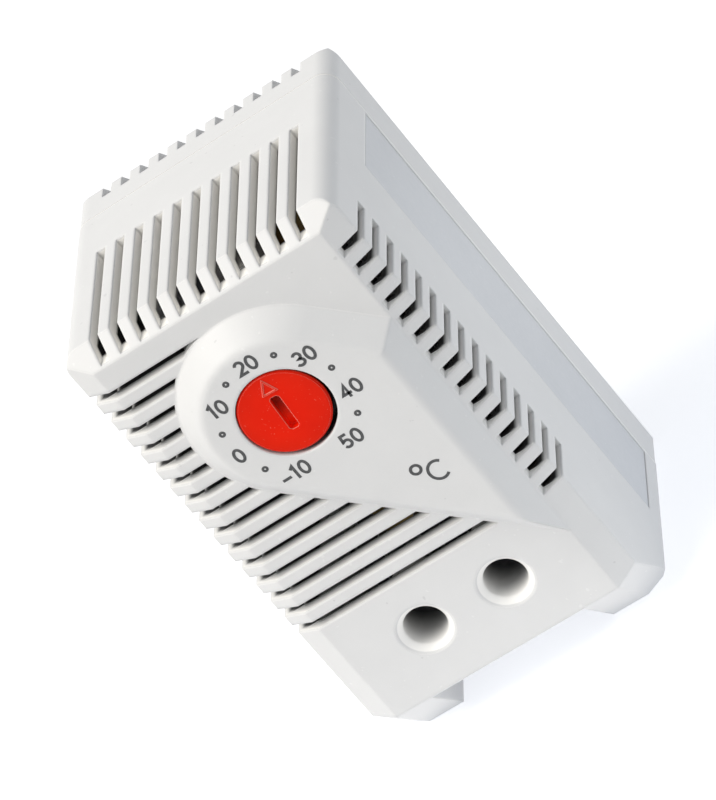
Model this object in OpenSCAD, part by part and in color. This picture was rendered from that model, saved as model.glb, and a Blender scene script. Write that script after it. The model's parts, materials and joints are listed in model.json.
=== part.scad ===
// Rail-mounted bimetal thermostat with a setting dial and two screw terminals.
// Sizes are in millimetres. The front faces -Y, +Z is up, and the origin is the centre of the rail seat.

/* [Housing] */
// Width of the housing
body_w = 33; // [32:0.5:36]
// Height of the housing
body_h = 60; // [59:0.5:66]
// Depth from the front face to the rail seat
body_d = 35; // [34:0.5:40]
// Depth of the front cover, from the front face to the parting line
cover_d = 27.5; // [26.5:0.5:29]
// Wall thickness of the cover
wall = 1.5; // [1.2:0.1:1.8]
// Floor thickness of the base
base_floor = 1.8; // [1.5:0.1:2.2]
// Step of the base behind the cover at the parting line
seam = 0.06; // [0.05:0.01:0.3]
// Radius of the upper edges that run from front to rear
corner_r = 2; // [1.6:0.1:3.2]
// Small bevel of the lower edges
foot_bevel = 0.7; // [0.3:0.1:1.2]
// Width of the bevel beside the front face
edge_w = 2.6; // [2:0.05:3]
// Depth of the bevel beside the front face
edge_d = 1.6; // [1.4:0.1:2.2]
// Height of the bevel above the front face
top_edge_h = 2.4; // [2:0.05:2.8]
// Depth of the bevel above the front face
top_edge_d = 2.3; // [1.8:0.1:2.6]
// Bevel round the rear face
rear_edge = 2.5; // [1.5:0.1:3]
// Height and depth of the slope below the front face
foot_slope = 6; // [5:0.1:6.6]
// Width of each foot beside the wiring bay
foot_w = 7; // [6:0.1:7.4]

/* [Vents] */
// Width of each vent slot
vent_w = 1.1; // [0.9:0.05:1.3]
// Number of vents on each side
side_vents = 15; // [10:1:15]
// Number of vents on the top
top_vents = 11; // [7:1:11]
// Drop of the highest side vent below the top
vent_drop = 5.6; // [5.2:0.05:6]
// Height of the lowest side vent
vent_low = 20.25; // [19.5:0.05:24]
// Distance of the outer top vents from the sides
vent_edge = 4.3; // [3.8:0.05:5]
// Length of the side vents behind the front face
side_vent_d = 7.4; // [5:0.1:9]
// Length of the top vents behind the front face
top_vent_d = 19.4; // [12:0.1:21]
// Rim left between the vents and the edges they run up to
vent_rim = 0.2; // [0.1:0.05:0.4]
// Length of the rear notches along the top
rear_notch_d = 4.3; // [3:0.1:5]
// Height of the rear notches on the rear face
rear_notch_h = 6; // [4:0.1:6.5]

/* [Dial] */
// Drop of the boss centre below the top
boss_drop = 15.9; // [15.5:0.1:17]
// Drop of the dial centre below the top
dial_drop = 15.55; // [15.35:0.05:16.5]
// Height of the boss in front of the face
boss_h = 3; // [2.5:0.1:3.5]
// Half width of the boss at the front face
boss_r = 11; // [10.4:0.1:11.4]
// How much narrower the boss is at its flat top
boss_slope = 2.4; // [1.8:0.1:2.6]
// How far the right end of the boss leans in
boss_lean = 2; // [1.5:0.1:2.6]
// Radius of the boss's upper edges
boss_round = 1.2; // [0.4:0.1:1.4]
// Radius of the dial
dial_r = 4.8; // [4.6:0.1:5.4]
// Thickness of the dial disc
dial_t = 2; // [1.8:0.1:2.2]
// Gap round the dial
dial_gap = 0.28; // [0.26:0.01:0.4]
// How far the pocket lies to the lower right of the dial's axis
pocket_off = 0.2; // [0:0.02:0.2]
// Turn of the dial past the middle of its scale
dial_turn = 4; // [0:1:10]
// Length of the screwdriver slot
slot_len = 4.2; // [3:0.1:4.4]
// Width of the screwdriver slot
slot_w = 1.1; // [0.8:0.1:1.2]
// Depth of the screwdriver slot
slot_depth = 1; // [0.6:0.1:1.2]
// Radius of the dial's shaft
hub_r = 2.9; // [2.7:0.1:3.1]
// Length of the bearing behind the dial pocket
bush_len = 2.65; // [2:0.05:3]
// Radius of the setting spindle's core
spindle_r = 1.5; // [1.4:0.05:1.55]
// Room for the thread ridges round the cores of the spindle and the terminal screws
thread_room = 0.25; // [0.2:0.01:0.28]
// Width of the setting nut across its guided sides
nut_w = 8.8; // [8.4:0.1:9.4]
// Height of the setting nut
nut_h = 7.2; // [6.6:0.1:8]
// Thickness of the setting nut
nut_t = 2.6; // [2.2:0.1:2.8]
// Greatest travel of the setting nut from its middle position
nut_travel = 0.55; // [0.4:0.05:0.6]

/* [Terminals] */
// Distance of each terminal from the middle
term_x = 5; // [4.9:0.02:5.2]
// Height of the terminals
term_z = 13.3; // [13.1:0.1:13.6]
// Radius of the driver holes
driver_r = 2.35; // [2.2:0.05:2.6]
// Width of the countersink round the driver holes
driver_sink = 0.8; // [0.6:0.1:1.1]
// Length of the driver holes
driver_len = 8; // [7:0.1:8.5]
// Radius of the terminal screw's core
screw_r = 1.25; // [1.15:0.05:1.3]
// Radius of the terminal screw head
screw_head_r = 2.5; // [2.2:0.05:2.55]
// Length of the terminal screw behind its head
screw_len = 5; // [4.8:0.1:5.4]
// Thickness of the brass bars
bar_t = 1; // [0.8:0.1:1.2]
// Width of the bar tongue inside the cage
bar_w = 4.2; // [3.6:0.1:4.3]
// Width of the terminal cage
cage_w = 6.6; // [6.4:0.05:6.7]
// Height of the terminal cage
cage_h = 7; // [6:0.1:7.2]
// Greatest gap for the wire
wire_gap = 3.2; // [2.9:0.1:3.4]
// Width of the wire entries
entry_w = 4.6; // [4.3:0.1:4.8]
// Depth of the wire entries
entry_d = 4.4; // [4.2:0.1:4.6]

/* [Switch] */
// Width of the bimetal strip
strip_w = 7.2; // [6.4:0.1:7.4]
// Thickness of the bimetal strip
strip_t = 0.8; // [0.6:0.05:1]
// Height of the strip's rivets
rivet_z = 24.3; // [24:0.1:25]
// Drop of the contacts below the top
contact_drop = 9; // [8.5:0.1:9.5]
// Radius of the moving contact
contact_r = 2; // [1.6:0.1:2.2]
// Thickness of each contact
contact_t = 1.3; // [1:0.1:1.5]
// Gap left between the closed contacts
contact_gap = 0.1; // [0.05:0.01:0.2]
// Thickness of the armature
armature_t = 0.6; // [0.5:0.05:0.8]

/* [Rail clip] */
// Width of the mounting rail
rail_w = 35; // [35:0.1:35.4]
// Gap behind the rail seat that takes the rail's flange
rail_slot = 1.4; // [1.2:0.1:1.8]
// How far the hooks reach behind the rail
hook_reach = 1.7; // [1.2:0.1:2]
// How far the hooks stand behind the rail seat
hook_d = 5; // [4.5:0.1:6]
// Width of the latch between its guides
latch_w = 9.2; // [8:0.1:10]
// Travel of the latch
latch_travel = 2.5; // [2:0.1:2.8]

/* [Label field] */
// Width of the label field on the right side
label_w = 10.8; // [9:0.1:11]
// Drop of the label field below the top
label_drop = 6.3; // [5:0.1:12]
// Height of the label field above the bottom
label_rise = 2.9; // [2.5:0.1:12]
// Depth of the label field
label_sink = 0.2; // [0.15:0.01:0.3]
// Thickness of the label film
label_t = 0.15; // [0.1:0.01:0.15]

/* [Clearances] */
// Gap between fixed pieces that fit together
fit_gap = 0.1; // [0.05:0.01:0.15]
// Radial gap of a shaft in its bearing
run_gap = 0.05; // [0.02:0.01:0.08]
// Gap beside sliding pieces
slide_gap = 0.2; // [0.15:0.01:0.25]
// Radial gap of a pressed or riveted piece
press_gap = 0.02; // [0.01:0.01:0.03]

/* [Hidden] */
$fn = 48;
past = 1;
half_w = body_w / 2;
front_half = half_w - edge_w;
corner_safe_r = 0.4;
side_pitch = (body_h - vent_drop - vent_low) / (side_vents - 1);
top_pitch = (body_w - 2 * vent_edge) / (top_vents - 1);

// Wiring bay between the feet
bay_half = half_w - foot_w;
bay_high = foot_slope - 0.2;
bay_top = bay_high + wall;

// Dial, from front to rear
boss_z = body_h - boss_drop;
dial_z = body_h - dial_drop;
dial_face = -boss_h + 0.05;
pocket_r = dial_r + dial_gap;
pocket_way = 36;
pocket_at = pocket_off * [cos(pocket_way), 0, -sin(pocket_way)];
pocket_floor = dial_face + dial_t + slide_gap;
pocket_web = 1.5;
web_back = pocket_floor + pocket_web;
cup_r = pocket_r + 1.2;
bush_end = web_back + bush_len;
bush_r = hub_r + run_gap + 1.5;
clip_t = 0.6;
clip_y = bush_end + fit_gap;
clip_r = hub_r + 1.2;
groove_r = hub_r - 0.7;
hub_end = clip_y + clip_t + 0.9;
nut_y = hub_end + nut_travel + 0.45;
nut_back = nut_y + nut_t;
spindle_end = nut_back + nut_travel + 0.9;
guide_t = 1.4;
guide_h = nut_h - 2.2;

// Terminals, from front to rear
driver_wall = 1.2;
head_t = 1.8;
head_y = driver_len + 0.4;
recess_depth = 1;
thread_y = head_y + head_t;
tip_y = thread_y + screw_len;
bar_y = tip_y + fit_gap;
bar_back = bar_y + bar_t;
cage_front_t = 1.8;
cage_rear_t = 1.2;
cage_side_t = 1;
cage_y = bar_y - 2 * slide_gap - cage_front_t;
cage_back = bar_back + wire_gap + cage_rear_t;
well_half = cage_w / 2 + slide_gap;
well_low = term_z - cage_h / 2 - slide_gap;
well_high = term_z + cage_h / 2 + slide_gap;
entry_y = bar_back + wire_gap / 2 - entry_d / 2;

// Switch, from front to rear
strip_gap = 0.15;
strip_back = bar_y - strip_gap;
strip_y = strip_back - strip_t;
armature_back = strip_back + armature_t;
moving_face = armature_back + contact_t;
fixed_face = moving_face + contact_gap;
spine_bar_y = fixed_face + contact_t;
spine_y = spine_bar_y + bar_t;
contact_z = body_h - contact_drop;
rivet_inset = 1.6;
rivet_x = strip_w / 2 - rivet_inset;
rivet_r = 1;
rivet_head_r = 1.5;
rivet_head_t = 0.6;
rivet_room = 0.4;
strip_root = 2.1;
strip_tip = 1.2;
strip_low = rivet_z - strip_root;
strip_high = contact_z + contact_r + strip_tip;
armature_len = 6.4;
armature_low = contact_z - armature_len;
armature_half = 2.8;
magnet_half = 2.5;
magnet_low = armature_low + 0.2;
magnet_high = contact_z - contact_r - 0.7;
magnet_gap = 0.45;

// Insert that carries the switch
block_y = thread_y + 0.4;
block_wall = 1.5;
block_half = term_x + well_half + block_wall;
block_low = bay_top + 0.6;
block_high = well_high + block_wall;
carrier_floor = 1.6;
carrier_back = cage_back + slide_gap + carrier_floor;
spine_half = term_x + bar_w / 2 + 0.4;
spine_high = strip_high + 0.8;
ear_x = block_half + 1.9;
ear_half_h = 2.5;
ear_t = 2.2;
pad_in = strip_w / 2 + 0.8;
plate_low = rivet_z - 2.7;
plate_high = rivet_z + 2.7;
plate_right = strip_w / 2 + 0.6;
fold_z = block_high + 0.2;

// Small screws of the bars and of the insert
small_r = 1;
small_head_r = 1.7;
small_head_t = 1.2;
strip_screw_x = -(term_x + 0.95);
contact_screw_rise = 7.7;
contact_screw_z = rivet_z + contact_screw_rise;
spine_screw_x = -5.2;
spine_screw_drop = 14;
spine_screw_z = contact_z - spine_screw_drop;
pillar_r = 2.3;
pillar_screw_len = 5;
pillar_hole = carrier_back + pillar_screw_len + 1;
strip_screw_len = 4;
contact_screw_len = 2.5;

// Base and rail
base_front = body_d - base_floor;
spigot_len = 2.2;
spigot_t = 1.2;
nib = 0.5;
nib_h = 5;
nib_y = cover_d - 1.3;
nib_rise = 16;
nib_drop = 15;
nib_z = [nib_rise, body_h - nib_drop];
rail_z = body_h / 2;
rail_gap = 0.2;
hook_top = rail_z + rail_w / 2 + rail_gap;
hook_low = rail_z - rail_w / 2 - rail_gap;
hook_t = 2.8;
hook_w = 8;
hook_x = 9;
hook_lip = 0.8;
hook_tip = 0.2;
hook_bevel = 1;
lip_y = body_d + rail_slot;
hook_back = body_d + hook_d;

// Latch and its guide in the base
flange_w = 1.2;
flange_t = 1.1;
plate_t = 2.6;
latch_y = body_d - plate_t;
latch_half = latch_w / 2;
latch_len = 11.3;
latch_low = hook_low - latch_len;
stem_h = 2.5;
window_half = 1.4;
window_high = hook_low - 2.9;
peg_h = 1;
spring_solid = 1.9;
window_low = window_high - spring_solid - latch_travel - peg_h;
peg_low = window_low + fit_gap;
peg_back = body_d - 0.6;
guide_wall = 1.2;
channel_floor = latch_y - slide_gap;
channel_top = hook_low + 0.3;

// Springs
latch_coil_r = 0.8;
latch_wire_r = 0.15;
setting_coil_r = 2.5;
setting_wire_r = 0.25;

// Label field
label_h = body_h - label_drop - label_rise;
label_z = label_rise + label_h / 2;
label_rear = cover_d - 0.55;
label_mid = label_rear - label_w / 2;
label_edge = 0.05;

// Extrudes a shape drawn in X and Z from y0 back to y1
module along_y(y0, y1) {
    translate([0, y1, 0]) rotate([90, 0, 0]) linear_extrude(y1 - y0) children();
}

// Extrudes a shape drawn in Y and Z from x0 to x1
module along_x(x0, x1) {
    translate([x0, 0, 0]) rotate([90, 0, 90]) linear_extrude(x1 - x0) children();
}

// Extrudes a shape drawn in X and Y from z0 to z1
module along_z(z0, z1) {
    translate([0, 0, z0]) linear_extrude(z1 - z0) children();
}

// Round bar from y0 back to y1
module rod(r, y0, y1) {
    along_y(y0, y1) circle(r);
}

// Box between two corners
module block(low, high) {
    translate(low) cube(high - low);
}

module both_sides() {
    children();
    mirror([1, 0, 0]) children();
}

// Moves the pieces, drawn from the front face and the bottom, to the rail seat
module placed() {
    translate([0, -body_d, -body_h / 2]) children();
}

module at_dial() {
    translate([0, 0, dial_z]) children();
}

// Plan of the housing with its front bevels, drawn in X and Y, t inside the outer form
module plan_form(t, depth) {
    slant = norm([edge_w, edge_d]);
    bevel_y = edge_d + t * (slant - edge_d) / edge_w;
    bevel_x = front_half - t * (slant - edge_w) / edge_d;
    side = half_w - t;
    polygon([[-side, depth], [-side, bevel_y], [-bevel_x, t], [bevel_x, t], [side, bevel_y], [side, depth]]);
}

// Side view of the cover with its top bevel and foot slope, drawn in Y and Z
module side_form(t, depth) {
    slant = norm([top_edge_h, top_edge_d]);
    bevel_y = top_edge_d + t * (slant - top_edge_d) / top_edge_h;
    bevel_z = body_h - top_edge_h - t * (slant - top_edge_h) / top_edge_d;
    slope = foot_slope + t * (sqrt(2) - 1);
    polygon([[depth, t], [slope, t], [t, slope], [t, bevel_z], [bevel_y, body_h - t], [depth, body_h - t]]);
}

// Front view of the housing with its round upper edges, drawn in X and Z
module front_form(t) {
    r = max(corner_r - t, corner_safe_r);
    side = half_w - t;
    top = body_h - t;
    polygon([[-side, t + foot_bevel], [-side + foot_bevel, t], [side - foot_bevel, t],
             [side, t + foot_bevel], [side, top - r], [-side, top - r]]);
    translate([-side + r, top - r - past]) square([2 * (side - r), r + past]);
    for (x = [-1, 1]) translate([x * (side - r), top - r]) circle(r);
}

// Whole form of the cover, t inside its outer faces
module cover_form(t, depth) {
    intersection() {
        along_y(-past, depth) front_form(t);
        along_x(-body_w, body_w) side_form(t, depth);
        along_z(-past, body_h + past) plan_form(t, depth);
        translate([0, foot_slope, 0]) rotate([45, 0, 0])
            along_z(-body_h, 2 * body_h) plan_form(t, 2 * body_h);
    }
}

// Points of a rounded edge, from a side that falls by boss_h over the given run up to a flat top at [x, h]
function soft_edge(x, h, run) =
    let(steps = 5, turn = atan2(boss_h, run), inset = boss_round * tan(turn / 2))
    [for (i = [steps : -1 : 0])
        let(a = turn * i / steps)
        [x - inset + boss_round * sin(a), h - boss_round + boss_round * cos(a)]];

// Boss with sloped sides that runs from the dial down to the right edge, t inside its outer faces
module boss_form(t, root) {
    skim = 0.002;
    rise = boss_h - t;
    low_r = boss_r - t * norm([boss_slope, boss_h]) / boss_h;
    high_r = low_r - boss_slope * rise / boss_h;
    end_x = front_half - t * norm([boss_lean, boss_h]) / boss_h;
    far_x = end_x - boss_lean * (boss_h + past) / boss_h;
    side = t > 0 ? [[high_r, rise]] : soft_edge(high_r, rise, boss_slope);
    other_side = [for (i = [len(side) - 1 : -1 : 0]) [-side[i][0], side[i][1]]];
    lean = t > 0 ? [[far_x, boss_h + past]] : soft_edge(end_x - boss_lean, boss_h + skim, boss_lean);
    intersection() {
        translate([0, 0, boss_z]) rotate([90, 0, 0]) rotate(-45) {
            intersection() {
                rotate_extrude()
                    polygon([[0, -root], [low_r, -root], [low_r, 0], each side, [0, rise]]);
                block([-2 * boss_r, -2 * boss_r, -root - past], [0, 2 * boss_r, boss_h + past]);
            }
            rotate([90, 0, 90]) linear_extrude(body_h)
                polygon([[-low_r, -root], [low_r, -root], [low_r, 0], each side, each other_side,
                         [-low_r, 0]]);
        }
        along_z(-body_h, 2 * body_h)
            polygon([[-body_w, root + past], [end_x, root + past], [end_x, 0],
                     for (p = lean) [p[0], -p[1]], [-body_w, -boss_h - past]]);
    }
}

// Vent openings of the front face, which end at the boss, drawn in X and Z
module front_vents() {
    difference() {
        for (i = [0 : side_vents - 1])
            translate([-half_w - past, vent_height(i) - vent_w / 2]) square([body_w, vent_w]);
        translate([0, boss_z]) {
            circle(boss_r + vent_rim);
            rotate(-45) translate([0, -boss_r - vent_rim]) square(2 * body_h);
            square(body_h);
        }
    }
}

// Vent openings of one side, drawn in Y and Z
module side_vent_row() {
    for (i = [0 : side_vents - 1])
        translate([-past, vent_height(i) - vent_w / 2]) square([side_vent_d + past, vent_w]);
}

// Row of vents across the top, drawn in X and Y
module top_vent_row(y0, y1) {
    for (i = [0 : top_vents - 1])
        translate([vent_edge - half_w + i * top_pitch - vent_w / 2, y0]) square([vent_w, y1 - y0]);
}

function vent_height(i) = body_h - vent_drop - i * side_pitch;

// Bosses, ribs and tubes inside the cover
module cover_inside() {
    at_dial() {
        rod(cup_r, -boss_h + wall / 2, web_back);
        rod(bush_r, web_back - past, bush_end);
        both_sides() block([nut_w / 2 + slide_gap, web_back - past / 2, -guide_h / 2],
                           [nut_w / 2 + slide_gap + guide_t, nut_back + nut_travel, guide_h / 2]);
    }
    both_sides() translate([term_x, 0, term_z]) rod(driver_r + driver_wall, wall / 2, driver_len);
}

// Openings for the dial and its shaft
module dial_openings() {
    at_dial() {
        translate(pocket_at) rod(pocket_r, -boss_h - past, pocket_floor);
        rod(hub_r + run_gap, pocket_floor - past, bush_end + past);
    }
}

// Driver hole with its countersink
module driver_hole() {
    rod(driver_r, -past, driver_len + past);
    translate([0, driver_sink, 0]) rotate([90, 0, 0])
        cylinder(h = driver_sink + past, r1 = driver_r, r2 = driver_r + driver_sink + past);
}

// Snap recesses for the nibs of the base
module nib_row(grow) {
    both_sides() for (z = nib_z)
        along_z(z - nib_h / 2 - grow, z + nib_h / 2 + grow)
            polygon([[half_w - wall - 2 * fit_gap - grow, nib_y - nib - grow],
                     [half_w - wall - fit_gap + nib + grow, nib_y - grow],
                     [half_w - wall - fit_gap + nib + grow, nib_y + grow],
                     [half_w - wall - 2 * fit_gap - grow, nib_y + nib + grow]]);
}

module front_cover() {
    color("lightgray") placed() difference() {
        union() {
            difference() {
                union() {
                    cover_form(0, cover_d);
                    boss_form(0, wall / 2);
                }
                difference() {
                    cover_form(wall, cover_d + past);
                    block([-bay_half - wall, 0, 0], [bay_half + wall, cover_d + 2 * past, bay_top]);
                }
                boss_form(wall, wall + past / 2);
                along_y(-past, wall + past / 2) front_vents();
                along_x(-half_w - past, -front_half) side_vent_row();
                along_x(front_half + vent_rim, half_w + past) side_vent_row();
                along_z(body_h - top_edge_h + vent_rim, body_h + past) top_vent_row(-past, top_vent_d);
                block([-bay_half, -past, -past], [bay_half, cover_d + past, bay_high]);
            }
            cover_inside();
        }
        dial_openings();
        both_sides() translate([term_x, 0, term_z]) driver_hole();
        both_sides() translate([term_x - entry_w / 2, entry_y, bay_high - past])
            cube([entry_w, entry_d, wall + 2 * past]);
        nib_row(fit_gap);
        along_x(half_w - label_sink, half_w + past)
            translate([label_mid - label_w / 2, label_z - label_h / 2]) square([label_w, label_h]);
    }
}

// Whole form of the base with its rear bevels
module base_form() {
    side = half_w - seam;
    low = seam;
    high = body_h - seam;
    bend = body_d - rear_edge;
    intersection() {
        along_y(cover_d, body_d) front_form(seam);
        along_x(-body_w, body_w) polygon([[cover_d, low], [bend, low], [body_d, low + rear_edge],
            [body_d, high - rear_edge], [bend, high], [cover_d, high]]);
        along_z(-past, body_h + past) polygon([[-side, cover_d], [-side, bend], [-side + rear_edge, body_d],
            [side - rear_edge, body_d], [side, bend], [side, cover_d]]);
    }
}

// Rim of the base that fits inside the cover on three sides
module spigot() {
    outer = half_w - wall - fit_gap;
    top = body_h - wall - fit_gap;
    along_y(cover_d - spigot_len, cover_d + past) difference() {
        front_form(wall + fit_gap);
        front_form(wall + fit_gap + spigot_t);
        translate([-outer - past, 0]) square([2 * (outer + past), bay_top + fit_gap]);
    }
    intersection() {
        nib_row(0);
        along_y(cover_d - spigot_len, cover_d) difference() {
            square([2 * body_w, 2 * top], center = true);
            square([2 * (outer - spigot_t / 2), 4 * top], center = true);
        }
    }
}

// Fixed upper hook, drawn in Y and Z
module hook_outline() {
    lip_low = hook_top - hook_reach;
    outer = hook_top + hook_t;
    polygon([[body_d - past, hook_top], [lip_y, hook_top], [lip_y, lip_low], [lip_y + hook_lip, lip_low],
             [hook_back, hook_top - hook_tip], [hook_back, outer - hook_bevel],
             [hook_back - hook_bevel, outer], [body_d - past, outer]]);
}

// Guide channel of the latch with its undercut
module latch_channel() {
    wide = latch_half + flange_w + slide_gap;
    block([-wide, channel_floor, -past], [wide, latch_y + flange_t + slide_gap, channel_top]);
    block([-latch_half - slide_gap, channel_floor, -past],
          [latch_half + slide_gap, body_d + past, channel_top]);
}

module rear_base() {
    guide_half = latch_half + flange_w + slide_gap + guide_wall;
    color("gainsboro") placed() {
        difference() {
            union() {
                difference() {
                    base_form();
                    difference() {
                        block([-half_w + base_floor, cover_d - past, base_floor],
                              [half_w - base_floor, base_front, body_h - base_floor]);
                        block([-bay_half - wall, 0, 0], [bay_half + wall, body_d, bay_top]);
                    }
                }
                intersection() {
                    base_form();
                    block([-guide_half, channel_floor - guide_wall, 0],
                          [guide_half, body_d, channel_top + guide_wall]);
                }
                spigot();
                for (x = [-hook_x, hook_x]) along_x(x - hook_w / 2, x + hook_w / 2) hook_outline();
                both_sides() translate([ear_x, 0, term_z])
                    rod(pillar_r, carrier_back, base_front + past / 2);
                translate([spine_screw_x, 0, spine_screw_z])
                    rod(pillar_r, carrier_back, base_front + past / 2);
            }
            latch_channel();
            along_z(body_h - rear_notch_h, body_h + past) top_vent_row(body_d - rear_notch_d, body_d + past);
            both_sides() translate([ear_x, 0, term_z])
                rod(small_r + press_gap, carrier_back - past, pillar_hole);
            translate([spine_screw_x, 0, spine_screw_z])
                rod(small_r + press_gap, carrier_back - past, pillar_hole);
        }
        block([-window_half + slide_gap, channel_floor - guide_wall / 2, peg_low],
              [window_half - slide_gap, peg_back, peg_low + peg_h]);
    }
}

module rail_latch() {
    lip_high = hook_low + hook_reach;
    outer = hook_low - stem_h;
    notch_low = latch_low + 0.8;
    notch_half = 2.6;
    notch_h = 1;
    color("gainsboro") placed() difference() {
        union() {
            block([-latch_half - flange_w, latch_y, latch_low],
                  [latch_half + flange_w, latch_y + flange_t, hook_low]);
            block([-latch_half, latch_y, latch_low], [latch_half, body_d - fit_gap, hook_low]);
            along_x(-latch_half, latch_half)
                polygon([[body_d - past, hook_low], [lip_y, hook_low], [lip_y, lip_high],
                         [lip_y + hook_lip, lip_high], [hook_back, hook_low + hook_tip],
                         [hook_back, outer + hook_bevel], [hook_back - hook_bevel, outer],
                         [body_d - past, outer]]);
        }
        block([-window_half, latch_y - past, window_low], [window_half, body_d, window_high]);
        block([-notch_half, latch_y + flange_t, notch_low],
              [notch_half, body_d + past, notch_low + notch_h]);
    }
}

// Points of a coil spring along +Z, with closed tube rings
function coil_ring(turn, mean_r, wire_r, height, sides) =
    let (a = 360 * turn)
    [for (i = [0 : sides - 1])
        let (b = 360 * i / sides, r = mean_r + wire_r * cos(b))
        [r * cos(a), r * sin(a), height + wire_r * sin(b)]];

// Coil spring that stands on the plane z = 0 and is free_len long
module coil(mean_r, wire_r, free_len, turns, steps, sides) {
    rings = turns * steps;
    points = [for (s = [0 : rings])
        each coil_ring(s / steps, mean_r, wire_r, wire_r + (free_len - 2 * wire_r) * s / rings, sides)];
    walls = [for (s = [0 : rings - 1]) for (i = [0 : sides - 1])
        let(j = (i + 1) % sides)
        [s * sides + i, s * sides + j, (s + 1) * sides + j, (s + 1) * sides + i]];
    start_cap = [[for (i = [sides - 1 : -1 : 0]) i]];
    end_cap = [[for (i = [0 : sides - 1]) rings * sides + i]];
    polyhedron(points, concat(walls, start_cap, end_cap), convexity = 10);
}

module latch_spring() {
    low = peg_low + peg_h + fit_gap / 2;
    color("silver") placed() translate([0, (latch_y + body_d) / 2, low])
        coil(latch_coil_r, latch_wire_r, window_high - low - fit_gap / 2, 6, 12, 6);
}

module setting_spring() {
    low = nut_back + fit_gap / 2;
    color("silver") placed() at_dial() translate([0, low, 0]) rotate([-90, 0, 0])
        coil(setting_coil_r, setting_wire_r, strip_y - low - fit_gap / 2, 5, 20, 8);
}

module rating_label() {
    side_in = half_w - label_sink;
    color("silver") placed() along_x(side_in, side_in + label_t)
        translate([label_mid - label_w / 2 + label_edge, label_z - label_h / 2 + label_edge])
            square([label_w - 2 * label_edge, label_h - 2 * label_edge]);
}

// Screwdriver slot with bevelled corners, drawn in X and Z
module slot_outline() {
    bevel = 0.25;
    half_l = slot_len / 2;
    half = slot_w / 2;
    polygon([[-half + bevel, -half_l], [half - bevel, -half_l],
             [half, -half_l + bevel], [half, half_l - bevel],
             [half - bevel, half_l], [-half + bevel, half_l],
             [-half, half_l - bevel], [-half, -half_l + bevel]]);
}

// Pointer triangle of the dial, drawn in X and Z
module pointer_outline() {
    low = slot_len / 2 + 0.5;
    high = dial_r - 0.4;
    half = 0.9;
    line = 0.16;
    tall = high - low;
    slant = norm([half, tall]);
    inner = half - line * (half + slant) / tall;
    difference() {
        polygon([[-half, low], [half, low], [0, high]]);
        polygon([[-inner, low + line], [inner, low + line], [0, high - line * slant / half]]);
    }
}

module dial_knob() {
    rim = 0.2;
    pointer_rise = 0.07;
    color("red") placed() at_dial() rotate([0, dial_turn, 0]) difference() {
        union() {
            rotate([90, 0, 0]) rotate_extrude()
                polygon([[0, -dial_face - dial_t], [dial_r, -dial_face - dial_t], [dial_r, -dial_face - rim],
                         [dial_r - rim, -dial_face], [0, -dial_face]]);
            rod(hub_r, dial_face + dial_t - past / 2, hub_end);
            along_y(dial_face - pointer_rise, dial_face + past / 2) pointer_outline();
        }
        along_y(dial_face - past, dial_face + slot_depth) slot_outline();
        rod(spindle_r + press_gap, web_back - past, hub_end + past);
        difference() {
            rod(hub_r + past, clip_y - fit_gap / 2, clip_y + clip_t + fit_gap / 2);
            rod(groove_r, clip_y - past, clip_y + clip_t + past);
        }
    }
}

module setting_spindle() {
    tip = 0.4;
    low = web_back - past + press_gap;
    color("goldenrod") placed() at_dial() {
        rod(spindle_r, low, spindle_end - tip);
        translate([0, spindle_end, 0]) rotate([90, 0, 0])
            cylinder(h = tip, r1 = spindle_r - tip, r2 = spindle_r);
    }
}

module dial_clip() {
    color("silver") placed() at_dial() difference() {
        rod(clip_r, clip_y, clip_y + clip_t);
        rod(groove_r + press_gap, clip_y - past, clip_y + clip_t + past);
        block([-groove_r + 0.5, clip_y - past, -clip_r - past], [groove_r - 0.5, clip_y + clip_t + past, 0]);
    }
}

module setting_nut() {
    bevel = 0.5;
    half = nut_w / 2;
    color("whitesmoke") placed() at_dial() difference() {
        along_y(nut_y, nut_back)
            polygon([[-half, -nut_h / 2 + bevel], [-half + bevel, -nut_h / 2], [half - bevel, -nut_h / 2],
                     [half, -nut_h / 2 + bevel], [half, nut_h / 2 - bevel], [half - bevel, nut_h / 2],
                     [-half + bevel, nut_h / 2], [-half, nut_h / 2 - bevel]]);
        rod(spindle_r + thread_room + run_gap, nut_y - past, nut_back + past);
    }
}

// Moulded insert with a well for each terminal and a spine for the contacts
module contact_carrier() {
    color("dimgray") placed() difference() {
        union() {
            block([-block_half, block_y, block_low], [block_half, carrier_back, block_high]);
            block([-spine_half, spine_y, block_high - past], [spine_half, carrier_back, spine_high]);
            block([-spine_half, bar_back, block_high - past], [-pad_in, carrier_back, plate_high]);
            both_sides() block([block_half - past, carrier_back - ear_t, term_z - ear_half_h],
                               [ear_x + small_head_r + 0.3, carrier_back, term_z + ear_half_h]);
        }
        both_sides() translate([term_x, 0, 0]) {
            block([-well_half, block_y - past, well_low], [well_half, cage_back + slide_gap, well_high]);
            block([-bar_w / 2 - fit_gap, block_y - past, well_high - past],
                  [bar_w / 2 + fit_gap, bar_back, block_high + past]);
            block([-entry_w / 2, entry_y, block_low - past],
                  [entry_w / 2, entry_y + entry_d, well_low + past]);
        }
        block([term_x - bar_w / 2 - fit_gap, bar_y - past, fold_z - fit_gap],
              [term_x + bar_w / 2 + fit_gap, spine_y, spine_high + past]);
        both_sides() translate([ear_x, 0, term_z]) rod(small_r + run_gap, block_y, carrier_back + past);
        translate([spine_screw_x, 0, spine_screw_z]) rod(small_r + run_gap, block_y, carrier_back + past);
        translate([strip_screw_x, 0, rivet_z])
            rod(small_r + press_gap, bar_y, bar_back + strip_screw_len + past / 2);
        translate([term_x, 0, contact_screw_z]) rod(small_r + press_gap, bar_y, carrier_back + past);
        translate([0, 0, contact_z]) rod(contact_r + rivet_room, spine_y - past, carrier_back + past);
    }
}

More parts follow.
